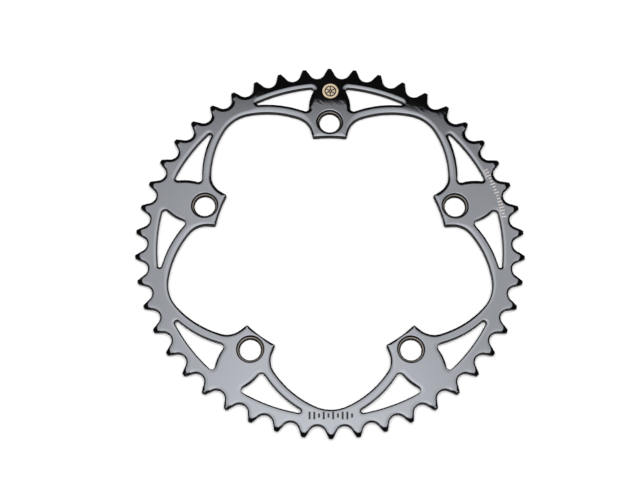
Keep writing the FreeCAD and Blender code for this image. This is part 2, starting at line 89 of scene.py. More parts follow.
# Polishing has rolled the front edges off: a small corner, a steep start that dies away
# fast, and a long gentle slope. Slopes are in degrees. The narrow arms lean more to the
# middle of the ring than to the windows. The steep start is short in the windows'
# corners, and long at the necks and tab ends.
FRONT_ROUND_REACH = 2.1
ARM_INNER_REACH = 2.9
ARM_OUTER_REACH = 1.4
WIDE_PLATE = 6.5
GENTLE_SLOPE = 8.5
STEEP_SLOPE = 45.0
STEEP_LENGTH = 0.33
STEEP_LENGTHS = {
    "rim": 0.27, "outer": 0.1, "neck": 0.5, "inner": 0.14,
    "shoulder": 0.42, "side": 0.52, "corner": 0.8, "end": 0.42,
}
STEEP_FADE_POWER = 6
CORNER_RADIUS = 0.06
CORNER_SHARE = 0.2
INSIDE_CIRCLE_SHARE = 0.85
BACK_ROUND = 0.3
RECESS_ROUND_REACH = 0.8
RECESS_FLOOR_RADIUS = 0.2
RECESS_FLOOR_SLOPE = 8.0
HOLE_EDGE_RADIUS = 0.72

# Sampling of the outlines: spacings in millimetres, and stops as shares of a length
POINT_SPACING = 0.7
SEAT_SPACING = 0.6
LAND_SPACING = 0.4
TOOTH_TIP_SPACING = 0.15
TAB_CORNER_SPACING = 0.2
WINDOW_CORNER_SPACING = 0.3
WINDOW_TIP_SPACING = 0.25
LEAST_ARC_STEPS = 3
FLANK_END_STOPS = (0.75, 0.9)
CREASE_STOPS = (0.25, 0.5, 0.75)
TAB_SIDE_STEPS = 8

# Sampling of the rounded edges and of the bolt seats
ROLL_OFF_STOPS = (0.0, 0.03, 0.08, 0.15, 0.25, 0.42, 0.68, 1.0)
CORNER_STEPS = 2
BACK_ROUND_STEPS = 3
RECESS_FOOT_STEPS = 3
HOLE_EDGE_STEPS = 7
BOLT_TURNS = 72

# Reach and steep start of a rounding are found from this many points either way.
NEIGHBOURS = 24
EVENING_POINTS = 3
ROOM_TO_SPARE = 0.05
TINY = 1e-6

HALF_PITCH = 180.0 / TOOTH_COUNT
HALF_TAB = 180.0 / TAB_COUNT
ROOT_RADIUS = CHAIN_PITCH / 2 / math.sin(math.radians(HALF_PITCH)) - ROLLER_DIAMETER / 2
TIP_RADIUS = ROOT_RADIUS + TOOTH_HEIGHT
CROWN_CENTRE = ROOT_RADIUS - CROWN_RIM_WIDTH - CROWN_RADIUS
ARM_SHIFT = ARM_RADIUS - CROWN_RADIUS
WINDOW_RADIUS = ROOT_RADIUS - WINDOW_RIM_WIDTH
ARM_BACK_RADIUS = ARM_RADIUS + ARM_WIDTH
BEVEL_START = TIP_RADIUS - TIP_BEVEL_LENGTH
CREASE_RADII = (
    BEVEL_START - TIP_CREASE_HALF_WIDTH,
    BEVEL_START,
    BEVEL_START + TIP_CREASE_HALF_WIDTH,
)

# Which way the open side of an arc lies: at its centre, or outside it.
OPEN_CENTRE = -1.0
OPEN_OUTSIDE = 1.0


def direction(angle):
    """Unit vector in the plate's plane at an angle in degrees."""
    return np.array([math.cos(math.radians(angle)), math.sin(math.radians(angle))])


def full_turn(steps):
    """Unit vectors evenly all the way round, the first one along +X."""
    return [direction(angle) for angle in np.linspace(0, 360, steps, endpoint=False)]


def angle_of(vector):
    """Angle of a plane vector in degrees."""
    return math.degrees(math.atan2(vector[1], vector[0]))


def length_of(vector):
    """Length of a plane vector."""
    return math.hypot(vector[0], vector[1])


def circles_meet(centre_a, radius_a, centre_b, radius_b, near):
    """The point where two circles cross that lies closer to the point near."""
    across = centre_b - centre_a
    gap = length_of(across)
    along = (gap * gap + radius_a * radius_a - radius_b * radius_b) / (2 * gap)
    half_chord = math.sqrt(radius_a * radius_a - along * along)
    unit = across / gap
    middle = centre_a + unit * along
    side = np.array([-unit[1], unit[0]]) * half_chord
    return min(middle + side, middle - side, key=lambda point: length_of(point - near))


def reach_circle(point, heading, radius):
    """How far to go from a point along a heading to leave the circle about the origin."""
    along = float(point @ heading)
    return -along + math.sqrt(along * along - float(point @ point) + radius * radius)


class Outline:
    """An edge of the plate: its points, and at each the direction into the open."""

    def __init__(self):
        self.points = []
        self.open_sides = []
        self.labels = []

    def arc(self, label, centre, radius, start, end, side, spacing=POINT_SPACING):
        """Samples an arc from its start up to, but not including, its end."""
        length = math.radians(abs(end - start)) * radius
        steps = max(LEAST_ARC_STEPS, math.ceil(length / spacing))
        for angle in np.linspace(start, end, steps, endpoint=False):
            self.add(label, centre + direction(angle) * radius, direction(angle) * side)

    def line(self, label, start, end, open_side, fractions):
        """Samples a straight edge at given fractions of its length."""
        for fraction in fractions:
            self.add(label, start + (end - start) * fraction, open_side)

    def add(self, label, point, open_side):
        """Adds one point."""
        self.points.append(np.array(point))
        self.open_sides.append(np.array(open_side))
        self.labels.append(label)

    def extend(self, other, turn=0.0, mirrored=False):
        """Adds another outline turned by an angle; a mirrored one runs backwards."""
        cosine, sine = direction(turn)
        spin = np.array([[cosine, -sine], [sine, cosine]])
        flip = np.array([[-1.0, 0.0], [0.0, 1.0]]) if mirrored else np.eye(2)
        order = range(len(other.points))
        for index in reversed(order) if mirrored else order:
            self.add(
                other.labels[index],
                spin @ flip @ other.points[index],
                spin @ flip @ other.open_sides[index],
            )

    def arrays(self):
        """The points, and the directions into the open."""
        return np.array(self.points), np.array(self.open_sides)


def tooth_gap():
    """One gap between teeth about +X, from the tip before it to the tip after it."""
    flank_angle = HALF_PITCH + FLANK_ANGLE
    seat = np.array([ROOT_RADIUS + SEAT_RADIUS, 0.0])
    flank = direction(flank_angle)
    into_tooth = direction(flank_angle + 90)
    flank_start = seat + into_tooth * SEAT_RADIUS
    offset_start = flank_start + into_tooth * TOOTH_TIP_RADIUS
    run = reach_circle(offset_start, flank, TIP_RADIUS - TOOTH_TIP_RADIUS)
    flank_end = flank_start + flank * run
    corner = offset_start + flank * run
    land_angle = angle_of(corner)
    mirror = np.array([1.0, -1.0])

    # The flank is sampled where the crease of the bevelled tip crosses it.
    crease = [reach_circle(flank_start, flank, radius) / run for radius in CREASE_RADII]
    rising = [0.0, *crease, *FLANK_END_STOPS]
    falling = [0.0] + [1.0 - stop for stop in reversed(rising[1:])]

    gap = Outline()
    gap.arc(
        "tip", corner * mirror, TOOTH_TIP_RADIUS, -land_angle, 90 - flank_angle,
        OPEN_OUTSIDE, TOOTH_TIP_SPACING,
    )
    gap.line(
        "flank", flank_end * mirror, flank_start * mirror,
        direction(90 - flank_angle), falling,
    )
    gap.arc(
        "seat", seat, SEAT_RADIUS, 270 - flank_angle, flank_angle + 90,
        OPEN_CENTRE, SEAT_SPACING,
    )
    gap.line("flank", flank_start, flank_end, direction(flank_angle - 90), rising)
    gap.arc(
        "tip", corner, TOOTH_TIP_RADIUS, flank_angle - 90, land_angle,
        OPEN_OUTSIDE, TOOTH_TIP_SPACING,
    )
    gap.arc(
        "tip", np.zeros(2), TIP_RADIUS, land_angle, 2 * HALF_PITCH - land_angle,
        OPEN_OUTSIDE, LAND_SPACING,
    )
    return gap


def toothed_outline():
    """Outer edge of the ring, anticlockwise."""
    edge = Outline()
    gap = tooth_gap()
    for number in range(TOOTH_COUNT):
        edge.extend(gap, 2 * HALF_PITCH * number)
    return edge


def arm_centre(lobe_axis):
    """Centre of the arm's arc that follows the lobe whose axis is at an angle."""
    crown = direction(lobe_axis) * CROWN_CENTRE
    return crown - direction(lobe_axis + CROWN_SWEEP) * ARM_SHIFT


def half_lobe():
    """Inner edge from the crown of the lobe about -Y to the middle of the next tab."""
    lobe_axis = 270.0
    tab_axis = lobe_axis + HALF_TAB
    side_angle = tab_axis - TAB_SIDE_ANGLE
    outward = direction(side_angle)
    into_lobe = direction(side_angle - 90)
    bolt = direction(tab_axis) * BOLT_CIRCLE_RADIUS
    side_point = bolt + into_lobe * TAB_SIDE_DISTANCE

    # The shoulder touches the tab's side and, from within, the arm's arc.
    arm = arm_centre(lobe_axis)
    offset = side_point + into_lobe * SHOULDER_RADIUS - arm
    run = reach_circle(offset, outward, ARM_RADIUS - SHOULDER_RADIUS)
    shoulder = arm + offset + outward * run
    side_end = shoulder - into_lobe * SHOULDER_RADIUS
    shoulder_start = angle_of(shoulder - arm) % 360

    # The tab's corner touches its side and the bore.
    corner_line = side_point - into_lobe * TAB_CORNER_RADIUS
    corner_run = reach_circle(corner_line, outward, TAB_END_RADIUS + TAB_CORNER_RADIUS)
    corner = corner_line + outward * corner_run
    side_start = corner + into_lobe * TAB_CORNER_RADIUS
    corner_angle = angle_of(corner) % 360

    edge = Outline()
    crown = direction(lobe_axis) * CROWN_CENTRE
    sweep_end = lobe_axis + CROWN_SWEEP
    side_stops = np.linspace(0.0, 1.0, TAB_SIDE_STEPS, endpoint=False)
    edge.arc("crown", crown, CROWN_RADIUS, lobe_axis, sweep_end, OPEN_CENTRE)
    edge.arc("arm", arm, ARM_RADIUS, sweep_end, shoulder_start, OPEN_CENTRE)
    edge.arc(
        "shoulder", shoulder, SHOULDER_RADIUS, shoulder_start, side_angle + 90,
        OPEN_CENTRE,
    )
    edge.line("side", side_end, side_start, into_lobe, side_stops)
    edge.arc(
        "corner", corner, TAB_CORNER_RADIUS, side_angle - 90, corner_angle - 180,
        OPEN_OUTSIDE, TAB_CORNER_SPACING,
    )
    edge.arc("end", np.zeros(2), TAB_END_RADIUS, corner_angle, tab_axis, OPEN_CENTRE)
    return edge


def inner_outline():
    """Edge of the ring's open middle, anticlockwise."""
    half = half_lobe()
    tab_middle = Outline()
    tab_angle = 270.0 + HALF_TAB
    tab_middle.add("end", direction(tab_angle) * TAB_END_RADIUS, -direction(tab_angle))
    left = Outline()
    left.extend(tab_middle, mirrored=True)
    left.extend(half, mirrored=True)
    # The crown's middle is also the first point of the right half.
    for values in (left.points, left.open_sides, left.labels):
        values.pop()
    edge = Outline()
    for number in range(TAB_COUNT):
        edge.extend(left, 2 * HALF_TAB * number)
        edge.extend(half, 2 * HALF_TAB * number)
    return edge


def window_outline():
    """Opening right of the tab at +Y, run clockwise from its tip along the rim."""
    origin = np.zeros(2)
    lobe_axis = 90.0 - HALF_TAB
    arm = arm_centre(lobe_axis)
    neck = np.array([NECK_HALF_WIDTH - NECK_RADIUS, WINDOW_RADIUS - NECK_DROP])
    outer = circles_meet(
        origin,
        WINDOW_RADIUS - WINDOW_OUTER_CORNER,
        neck,
        NECK_RADIUS + WINDOW_OUTER_CORNER,
        direction(90) * WINDOW_RADIUS,
    )
    inner = circles_meet(
        arm,
        ARM_BACK_RADIUS + WINDOW_INNER_CORNER,
        neck,
        NECK_RADIUS + WINDOW_INNER_CORNER,
        neck + np.array([NECK_RADIUS, 0.0]),
    )
    tip = circles_meet(
        origin,
        WINDOW_RADIUS - WINDOW_TIP_RADIUS,
        arm,
        ARM_BACK_RADIUS + WINDOW_TIP_RADIUS,
        direction(lobe_axis) * WINDOW_RADIUS,
    )

    def turned(centre, target, after):
        """Angle from centre to target, as the first one past an angle."""
        return after + (angle_of(target - centre) - after) % 360

    outer_start = angle_of(outer)
    outer_end = turned(outer, neck, outer_start)
    neck_start = angle_of(outer - neck)
    neck_end = angle_of(inner - neck)
    inner_start = angle_of(neck - inner) % 360
    inner_end = turned(inner, arm, inner_start)
    arm_start = angle_of(inner - arm)
    arm_end = angle_of(tip - arm)
    tip_start = angle_of(arm - tip)
    tip_end = turned(tip, tip * 2, tip_start)

    edge = Outline()
    edge.arc("rim", origin, WINDOW_RADIUS, angle_of(tip), outer_start, OPEN_CENTRE)
    edge.arc(
        "outer", outer, WINDOW_OUTER_CORNER, outer_start, outer_end,
        OPEN_CENTRE, WINDOW_CORNER_SPACING,
    )
    edge.arc("neck", neck, NECK_RADIUS, neck_start, neck_end, OPEN_OUTSIDE)
    edge.arc(
        "inner", inner, WINDOW_INNER_CORNER, inner_start, inner_end,
        OPEN_CENTRE, WINDOW_CORNER_SPACING,
    )
    edge.arc("back", arm, ARM_BACK_RADIUS, arm_start, arm_end, OPEN_OUTSIDE)
    edge.arc(
        "tip", tip, WINDOW_TIP_RADIUS, tip_start, tip_end,
        OPEN_CENTRE, WINDOW_TIP_SPACING,
    )
    return edge


def tip_bevel(points):
    """Drop of the bevelled tooth tips below a face, and its slope, with a soft crease."""
    radius = np.hypot(points[:, 0], points[:, 1])
    slope = TIP_BEVEL_DEPTH / TIP_BEVEL_LENGTH
    past = radius - BEVEL_START
    into_crease = np.clip(past + TIP_CREASE_HALF_WIDTH, 0.0, 2 * TIP_CREASE_HALF_WIDTH)
    drop = slope * into_crease**2 / (4 * TIP_CREASE_HALF_WIDTH)
    drop += slope * np.clip(past - TIP_CREASE_HALF_WIDTH, 0.0, None)
    local_slope = slope * into_crease / (2 * TIP_CREASE_HALF_WIDTH)
    gradient = points / radius[:, None] * local_slope[:, None]
    return drop, gradient


def mesh_object(name, vertices, faces, materials):
    """A new mesh object with a list of materials, linked to the scene."""
    mesh = bpy.data.meshes.new(name)
    mesh.from_pydata(vertices, [], faces)
    for material in materials:
        mesh.materials.append(material)
    thing = bpy.data.objects.new(name, mesh)
    bpy.context.scene.collection.objects.link(thing)
    return thing


class PlateMesh:
    """Vertices in millimetres with their normals, and faces with a finish number."""

    def __init__(self):
        self.vertices = []
        self.normals = []
        self.faces = []
        self.finishes = []

    def row(self, places, normals):
        """Adds a row of vertices and returns their numbers."""
        first = len(self.vertices)
        lengths = np.linalg.norm(normals, axis=1)[:, None]
        self.vertices.extend(places.tolist())
        self.normals.extend((normals / lengths).tolist())
        return list(range(first, len(self.vertices)))

    def strip(self, upper, lower, finish):
        """Closed band of quads between two rows, each facing the way its normals do."""
        count = len(upper)
        for index in range(count):
            following = (index + 1) % count
            self.face(
                [lower[index], lower[following], upper[following], upper[index]], finish
            )

    def face(self, corners, finish):
        """A face, turned to agree with the normals of its corners."""
        a, b, c = (Vector(self.vertices[corner]) for corner in corners[:3])
        if len(corners) == 4:
            facing = (c - a).cross(Vector(self.vertices[corners[3]]) - b)
        else:
            facing = (b - a).cross(c - a)
        wanted = Vector((0.0, 0.0, 0.0))
        for corner in corners:
            wanted += Vector(self.normals[corner])
        if facing.dot(wanted) < 0.0:
            corners = corners[::-1]
        self.faces.append(corners)
        self.finishes.append(finish)

    def object(self, name, materials):
        """Blender object in metres, shaded with these normals."""
        vertices = (np.array(self.vertices) * MM).tolist()
        thing = mesh_object(name, vertices, self.faces, materials)
        mesh = thing.data
        mesh.polygons.foreach_set("material_index", self.finishes)
        mesh.polygons.foreach_set("use_smooth", [True] * len(self.faces))
        mesh.normals_split_custom_set_from_vertices(self.normals)
        mesh.update()
        return thing


# Places of the three finishes in the plate's list of materials
FACE_FINISH = 0
CUT_FINISH = 1
TURNED_FINISH = 2


def stacked(plane, heights):
    """Plane vectors with their third coordinates."""
    return np.column_stack([plane, heights])


def roll_off(reach, length=STEEP_LENGTH):
    """Section of a polished edge from the wall up, for each reach in and length of its
    steep start: how far its places lie in from the wall and below the face, and their
    slopes in radians."""
    reach = np.asarray(reach, dtype=float)
    corner = np.minimum(CORNER_RADIUS, CORNER_SHARE * reach)
    top = roll_off_slope(0.0, reach, length)
    outset = corner * (1.0 - np.sin(top))
    reach = reach - outset
    insets = [reach * stop for stop in ROLL_OFF_STOPS]

    # Simpson's rule adds up the fall between two insets, from the innermost outwards.
    drops = [np.zeros_like(reach)]
    for near, far in zip(insets[-2::-1], insets[:0:-1]):
        places = (near, (near + far) / 2, far)
        slopes = [roll_off_slope(place, reach, length) for place in places]
        start, middle, end = np.tan(slopes)
        drops.append(drops[-1] + (far - near) * (start + 4 * middle + end) / 6)
    drops.reverse()

    section = []
    for step in range(CORNER_STEPS):
        slope = math.pi / 2 + (top - math.pi / 2) * step / CORNER_STEPS
        inset = corner * (1.0 - np.sin(slope))
        drop = drops[0] + corner * (np.cos(top) - np.cos(slope))
        section.append((inset, drop, slope))
    for inset, drop in zip(insets, drops):
        section.append((inset + outset, drop, roll_off_slope(inset, reach, length)))
    return section


def roll_off_slope(inset, reach, length):
    """Slope in radians of a rolled-off edge at an inset from its wall."""
    share = inset / reach
    steep = STEEP_SLOPE * np.exp(-inset / length) * (1.0 - share ** STEEP_FADE_POWER)
    return np.radians(GENTLE_SLOPE * (1.0 - share) + steep)


def steep_lengths(outline):
    """Length of the steep start at each point, evened out along the outline."""
    lengths = [STEEP_LENGTHS.get(label, STEEP_LENGTH) for label in outline.labels]
    shifts = range(-EVENING_POINTS, EVENING_POINTS + 1)
    return np.mean([np.roll(lengths, shift) for shift in shifts], axis=0)


def edge_rows(plate, outline, reach, toothed=False):
    """Wall and rounded edges along an outline; returns the innermost rows of its front
    and back. reach is how far the rounding reaches in at each point."""
    points, open_sides = outline.arrays()
    count = len(points)
    rows = []
    for inset, drop, slope in roll_off(reach, steep_lengths(outline)):
        places = points - open_sides * inset[:, None]
        heights = THICKNESS - drop
        tilt = np.zeros_like(points)
        if toothed:
            lower, tilt = tip_bevel(places)
            heights = heights - lower
        sideways = open_sides * np.sin(slope)[:, None] + tilt * np.cos(slope)[:, None]
        normals = stacked(sideways, np.cos(slope))
        rows.append(plate.row(stacked(places, heights), normals))
    for number, (upper, lower) in enumerate(zip(rows[1:], rows)):
        plate.strip(upper, lower, CUT_FINISH if number <= CORNER_STEPS else FACE_FINISH)
    wall_top = rows[0]
    front = rows[-1]

    back_rows = []
    for step in range(BACK_ROUND_STEPS + 1):
        turn = math.pi / 2 * step / BACK_ROUND_STEPS
        inset = np.minimum(reach, BACK_ROUND) * (1.0 - math.cos(turn))
        places = points - open_sides * inset[:, None]
        heights = np.full(count, BACK_ROUND * (1.0 - math.sin(turn)))
        tilt = np.zeros_like(points)
        if toothed:
            drop, gradient = tip_bevel(places)
            heights += drop
            tilt = gradient
        sideways = open_sides * math.cos(turn) + tilt * math.sin(turn)
        normals = stacked(sideways, np.full(count, -math.sin(turn)))
        back_rows.append(plate.row(stacked(places, heights), normals))
    plate.strip(wall_top, back_rows[0], CUT_FINISH)
    for upper, lower in zip(back_rows, back_rows[1:]):
        plate.strip(upper, lower, FACE_FINISH)
    return front, back_rows[-1]


def narrowness(outline, others):
    """1 at points where the plate up to other outlines is as narrow as an arm, 0 where
    it is wide."""
    points, _ = outline.arrays()
    across = np.vstack([other.arrays()[0] for other in others])
    gaps = np.array([np.hypot(*(across - point).T).min() for point in points])
    return np.clip((WIDE_PLATE - gaps) / (WIDE_PLATE - ARM_WIDTH), 0.0, 1.0)


def rounding_reach(outline, wanted=FRONT_ROUND_REACH):
    """How far the rounding reaches in at each point: as far as wanted, or less where the
    largest circle that touches the edge there from inside the plate is small."""
    points, open_sides = outline.arrays()
    count = len(points)
    reach = np.full(count, wanted)
    for number in range(count):
        nearby = np.arange(number - NEIGHBOURS, number + NEIGHBOURS + 1) % count
        across = points[nearby] - points[number]
        inward = -(across @ open_sides[number])
        facing = inward > TINY
        if facing.any():
            radii = (across[facing] ** 2).sum(axis=1) / (2.0 * inward[facing])
            reach[number] = min(reach[number], INSIDE_CIRCLE_SHARE * radii.min())
    return reach


def bolt_centres():
    """Centres of the bolt holes, the first one on +Y."""
    angles = [90 + 360 / TAB_COUNT * number for number in range(TAB_COUNT)]
    return [direction(angle) * BOLT_CIRCLE_RADIUS for angle in angles]


def room_beside_bolts(outline):
    """Flat width between each point of the edge and the nearest recess's rounding."""
    points, _ = outline.arrays()
    gaps = [np.hypot(*(points - centre).T) for centre in bolt_centres()]
    return np.min(gaps, axis=0) - RECESS_RADIUS - RECESS_ROUND_REACH - ROOM_TO_SPARE


def crease_lines(plate, front, back, outline):
    """Vertices across each tooth along the crease of its bevels, joined as lines."""
    lines = {1: [], -1: []}
    per_gap = len(outline.points) // TOOTH_COUNT
    flanks = [number for number in range(per_gap) if outline.labels[number] == "flank"]
    half = len(flanks) // 2
    falling, rising = flanks[:half], flanks[half:]
    # The first flank stop is its foot; the next ones lie on the crease.
    for side, row in ((1, front), (-1, back)):
        for gap in range(TOOTH_COUNT):
            for stop in range(1, len(CREASE_RADII) + 1):
                start = row[gap * per_gap + rising[stop]]
                end = row[((gap + 1) % TOOTH_COUNT) * per_gap + falling[half - stop]]
                near = np.array(plate.vertices[start][:2])
                far = np.array(plate.vertices[end][:2])
                places = np.array([near + (far - near) * part for part in CREASE_STOPS])
                drop, gradient = tip_bevel(places)
                base = THICKNESS if side > 0 else 0.0
                normals = stacked(gradient, np.full(len(places), float(side)))
                numbers = plate.row(stacked(places, base - side * drop), normals)
                lines[side].append([start] + numbers + [end])
    return lines[1], lines[-1]


def fill_face(plate, loops, lines, finish):
    """Triangles between the closed loops, with the lines kept as edges."""
    numbers = [number for path in loops + lines for number in path]
    unique = sorted(set(numbers))
    place_in = {number: place for place, number in enumerate(unique)}
    flat = [Vector(plate.vertices[number][:2]) for number in unique]
    edges = []
    for loop in loops:
        edges += [(place_in[a], place_in[b]) for a, b in zip(loop, loop[1:] + loop[:1])]
    walls = np.array([[flat[a], flat[b]] for a, b in edges])
    for line in lines:
        edges += [(place_in[a], place_in[b]) for a, b in zip(line, line[1:])]
    spots, _, triangles, sources, _, _ = delaunay_2d_cdt(flat, edges, [], 0, TINY, True)
    known = [unique[source[0]] if source else None for source in sources]
    corners = np.array([[spots[spot] for spot in triangle] for triangle in triangles])
    inside = crossings_left_of(corners.mean(axis=1), walls) % 2 == 1
    for triangle, keep in zip(triangles, inside):
        if keep:
            plate.face([known[corner] for corner in triangle], finish)


def crossings_left_of(points, walls):
    """How many walls lie straight to the left of each point."""
    counts = np.zeros(len(points), dtype=int)
    x, y = points[:, 0], points[:, 1]
    for (x1, y1), (x2, y2) in walls:
        if y1 == y2:
            continue
        between = (y1 > y) != (y2 > y)
        at = x1 + (y - y1) * (x2 - x1) / (y2 - y1)
        counts += between & (at < x)
    return counts


def bolt_seat(plate, centre):
    """Recess and through hole of one bolt; returns its front and back rows."""
    profile = []

    def bend(axis_radius, height, radius, angles, steps, side, finish):
        """Arc of the profile; its normals point away from its centre, or to it."""
        for angle in np.linspace(*angles, steps + 1):
            outward = direction(angle)
            place = np.array([axis_radius, height]) + outward * radius
            profile.append((place, outward * side, finish))

    for inset, drop, slope in reversed(roll_off(RECESS_ROUND_REACH)):
        normal = (-math.sin(slope), math.cos(slope))
        profile.append(((RECESS_RADIUS + inset, THICKNESS - drop), normal, FACE_FINISH))
    foot = RECESS_RADIUS - RECESS_FLOOR_RADIUS
    floor = THICKNESS - RECESS_DEPTH
    bend(
        foot, floor + RECESS_FLOOR_RADIUS, RECESS_FLOOR_RADIUS,
        (0, RECESS_FLOOR_SLOPE - 90), RECESS_FOOT_STEPS, OPEN_CENTRE, CUT_FINISH,
    )
    # The floor starts at the last point of this bend.
    profile[-1] = (*profile[-1][:2], TURNED_FINISH)
    edge = BOLT_HOLE_RADIUS + HOLE_EDGE_RADIUS
    fall = math.tan(math.radians(RECESS_FLOOR_SLOPE)) * (foot - edge)
    bend(
        edge, floor - fall - HOLE_EDGE_RADIUS, HOLE_EDGE_RADIUS,
        (90 + RECESS_FLOOR_SLOPE, 180), HOLE_EDGE_STEPS, OPEN_OUTSIDE, CUT_FINISH,
    )
    bend(
        BOLT_HOLE_RADIUS + BACK_ROUND, BACK_ROUND, BACK_ROUND,
        (180, 270), BACK_ROUND_STEPS, OPEN_OUTSIDE, FACE_FINISH,
    )

    turns = full_turn(BOLT_TURNS)
    rows = []
    for (radius, height), (sideways, upward), _ in profile:
        places = [(*(centre + turn * radius), height) for turn in turns]
        normals = [(*(turn * sideways), upward) for turn in turns]
        rows.append(plate.row(np.array(places), np.array(normals)))
    for upper, lower, (_, _, finish) in zip(rows, rows[1:], profile):
        plate.strip(upper, lower, finish)
    return rows[0], rows[-1]


def chainring_plate(materials):
    """The whole ring as one closed mesh."""
    plate = PlateMesh()

    rim = toothed_outline()
    rim_front, rim_back = edge_rows(plate, rim, rounding_reach(rim), toothed=True)
    front_lines, back_lines = crease_lines(plate, rim_front, rim_back, rim)

    middle = inner_outline()
    window = window_outline()
    openings = []
    for mirrored in (False, True):
        for number in range(TAB_COUNT):
            opening = Outline()
            opening.extend(window, 2 * HALF_TAB * number, mirrored)
            openings.append(opening)

    more = (ARM_INNER_REACH - FRONT_ROUND_REACH) * narrowness(middle, openings)
    reach = rounding_reach(middle, FRONT_ROUND_REACH + more)
    reach = np.minimum(reach, room_beside_bolts(middle))
    middle_front, middle_back = edge_rows(plate, middle, reach)

    fronts, backs = [rim_front, middle_front], [rim_back, middle_back]
    for opening in openings:
        less = (FRONT_ROUND_REACH - ARM_OUTER_REACH) * narrowness(opening, [middle])
        reach = rounding_reach(opening, FRONT_ROUND_REACH - less)
        front, back = edge_rows(plate, opening, reach)
        fronts.append(front)
        backs.append(back)

    for centre in bolt_centres():
        front, back = bolt_seat(plate, centre)
        fronts.append(front)
        backs.append(back)

    fill_face(plate, fronts, front_lines, FACE_FINISH)
    fill_face(plate, backs, back_lines, FACE_FINISH)
    return plate.object("chainring_plate", materials)


# Polishing waves run across the ring this way, in degrees from +X, and are longer along
# it. The middle range of a noise is spread over the tints and the roughness.
WAVE_DIRECTION = -42.0
WAVE_STRETCH = (2.2, 0.8, 1.0)
WAVE_DETAIL = 2.0
BLOTCH_DETAIL = 3.0
NOISE_ROUGHNESS = 0.55
NOISE_RANGE = (0.35, 0.65)

# Finishes, by material: sizes of the waves and blotches, two tints, range of roughness,
# height of the waves, and constants of the shader. Lengths are in metres.
FINISHES = {
    "polished_black_anodising": {
        "sizes": (0.0022, 0.018),
        "tints": ((0.0012, 0.0012, 0.0013), (0.0026, 0.0025, 0.0026)),
        "roughness": (0.022, 0.034),
        "height": 0.000005,
        "constants": {"IOR": 1.82, "Specular Tint": (0.885, 0.92, 1.0, 1.0)},
    },
    "milled_black_anodising": {
        "sizes": (0.0012, 0.006),
        "tints": ((0.004, 0.003, 0.0026), (0.011, 0.0078, 0.0062)),
        "roughness": (0.3, 0.42),
        "height": 0.00001,
        "constants": {"Specular IOR Level": 0.05},
    },
    "turned_recess_floor": {
        "sizes": (0.0008, 0.003),
        "tints": ((0.005, 0.004, 0.0035), (0.01, 0.0075, 0.0065)),
        "roughness": (0.1, 0.16),
        "constants": {"IOR": 1.6, "Specular Tint": (1.0, 0.9, 0.82, 1.0)},
    },
}

# The inks differ in their tints alone.
INK_TINTS = {
    "light_ink": ((0.50, 0.39, 0.26), (0.58, 0.46, 0.31)),
    "dark_ink": ((0.012, 0.010, 0.010), (0.025, 0.021, 0.021)),
    "pale_ink": ((0.46, 0.42, 0.40), (0.56, 0.51, 0.49)),
}
INK = {
    "sizes": (0.0012, 0.003),
    "roughness": (0.4, 0.6),
    "constants": {"Specular IOR Level": 0.2},
}


def new_material(name):
    """An empty node material; returns it with its nodes and shader."""
    material = bpy.data.materials.new(name)
    material.use_nodes = True
    tree = material.node_tree
    return material, tree, tree.nodes["Principled BSDF"]


def maths(tree, operation, *values, clamp=False):
    """Result of a sum or other operation on sockets and plain numbers."""
    node = tree.nodes.new("ShaderNodeMath")
    node.operation = operation
    node.use_clamp = clamp
    for socket, value in zip(node.inputs, values):
        if isinstance(value, bpy.types.NodeSocket):
            tree.links.new(value, socket)
        else:
            socket.default_value = value
    return node.outputs[0]


def mapped(tree, value, source, target):
    """A value carried from one range to another and held at its ends."""
    node = tree.nodes.new("ShaderNodeMapRange")
    names = ("From Min", "From Max", "To Min", "To Max")
    for name, number in zip(names, source + target):
        node.inputs[name].default_value = number
    tree.links.new(value, node.inputs["Value"])
    return node.outputs["Result"]


def mottling_group():
    """Soft blotches and fine orange-peel waves of a polished, dyed surface."""
    group = bpy.data.node_groups.new("polished_waves", "ShaderNodeTree")
    sockets = group.interface
    for name in ("Wave size", "Blotch size"):
        sockets.new_socket(name, in_out="INPUT", socket_type="NodeSocketFloat")
    for name in ("Height", "Blotches"):
        sockets.new_socket(name, in_out="OUTPUT", socket_type="NodeSocketFloat")
    nodes, links = group.nodes, group.links
    given = nodes.new("NodeGroupInput")
    result = nodes.new("NodeGroupOutput")
    place = nodes.new("ShaderNodeTexCoord").outputs["Object"]
    along = nodes.new("ShaderNodeMapping")
    along.vector_type = "TEXTURE"
    along.inputs["Rotation"].default_value = (0.0, 0.0, math.radians(WAVE_DIRECTION))
    along.inputs["Scale"].default_value = WAVE_STRETCH
    links.new(place, along.inputs["Vector"])
    for size, target, vector, detail in (
        ("Wave size", "Height", along.outputs["Vector"], WAVE_DETAIL),
        ("Blotch size", "Blotches", place, BLOTCH_DETAIL),
    ):
        noise = nodes.new("ShaderNodeTexNoise")
        noise.inputs["Detail"].default_value = detail
        noise.inputs["Roughness"].default_value = NOISE_ROUGHNESS
        links.new(vector, noise.inputs["Vector"])
        links.new(maths(group, "DIVIDE", 1.0, given.outputs[size]), noise.inputs["Scale"])
        links.new(noise.outputs["Fac"], result.inputs[target])
    return group


def tinted(tree, mask, tints):
    """Colour between two tints by a mask."""
    node = tree.nodes.new("ShaderNodeMix")
    node.data_type = "RGBA"
    colours = [socket for socket in node.inputs if socket.type == "RGBA"]
    for socket, tint in zip(colours, tints):
        socket.default_value = (*tint, 1.0)
    tree.links.new(mapped(tree, mask, NOISE_RANGE, (0.0, 1.0)), node.inputs["Factor"])
    return next(socket for socket in node.outputs if socket.type == "RGBA")


def bumped(tree, mask, height):
    """Normals of a relief with a height in metres."""
    node = tree.nodes.new("ShaderNodeBump")
    node.inputs["Strength"].default_value = 1.0
    node.inputs["Distance"].default_value = height
    tree.links.new(mask, node.inputs["Height"])
    return node.outputs["Normal"]


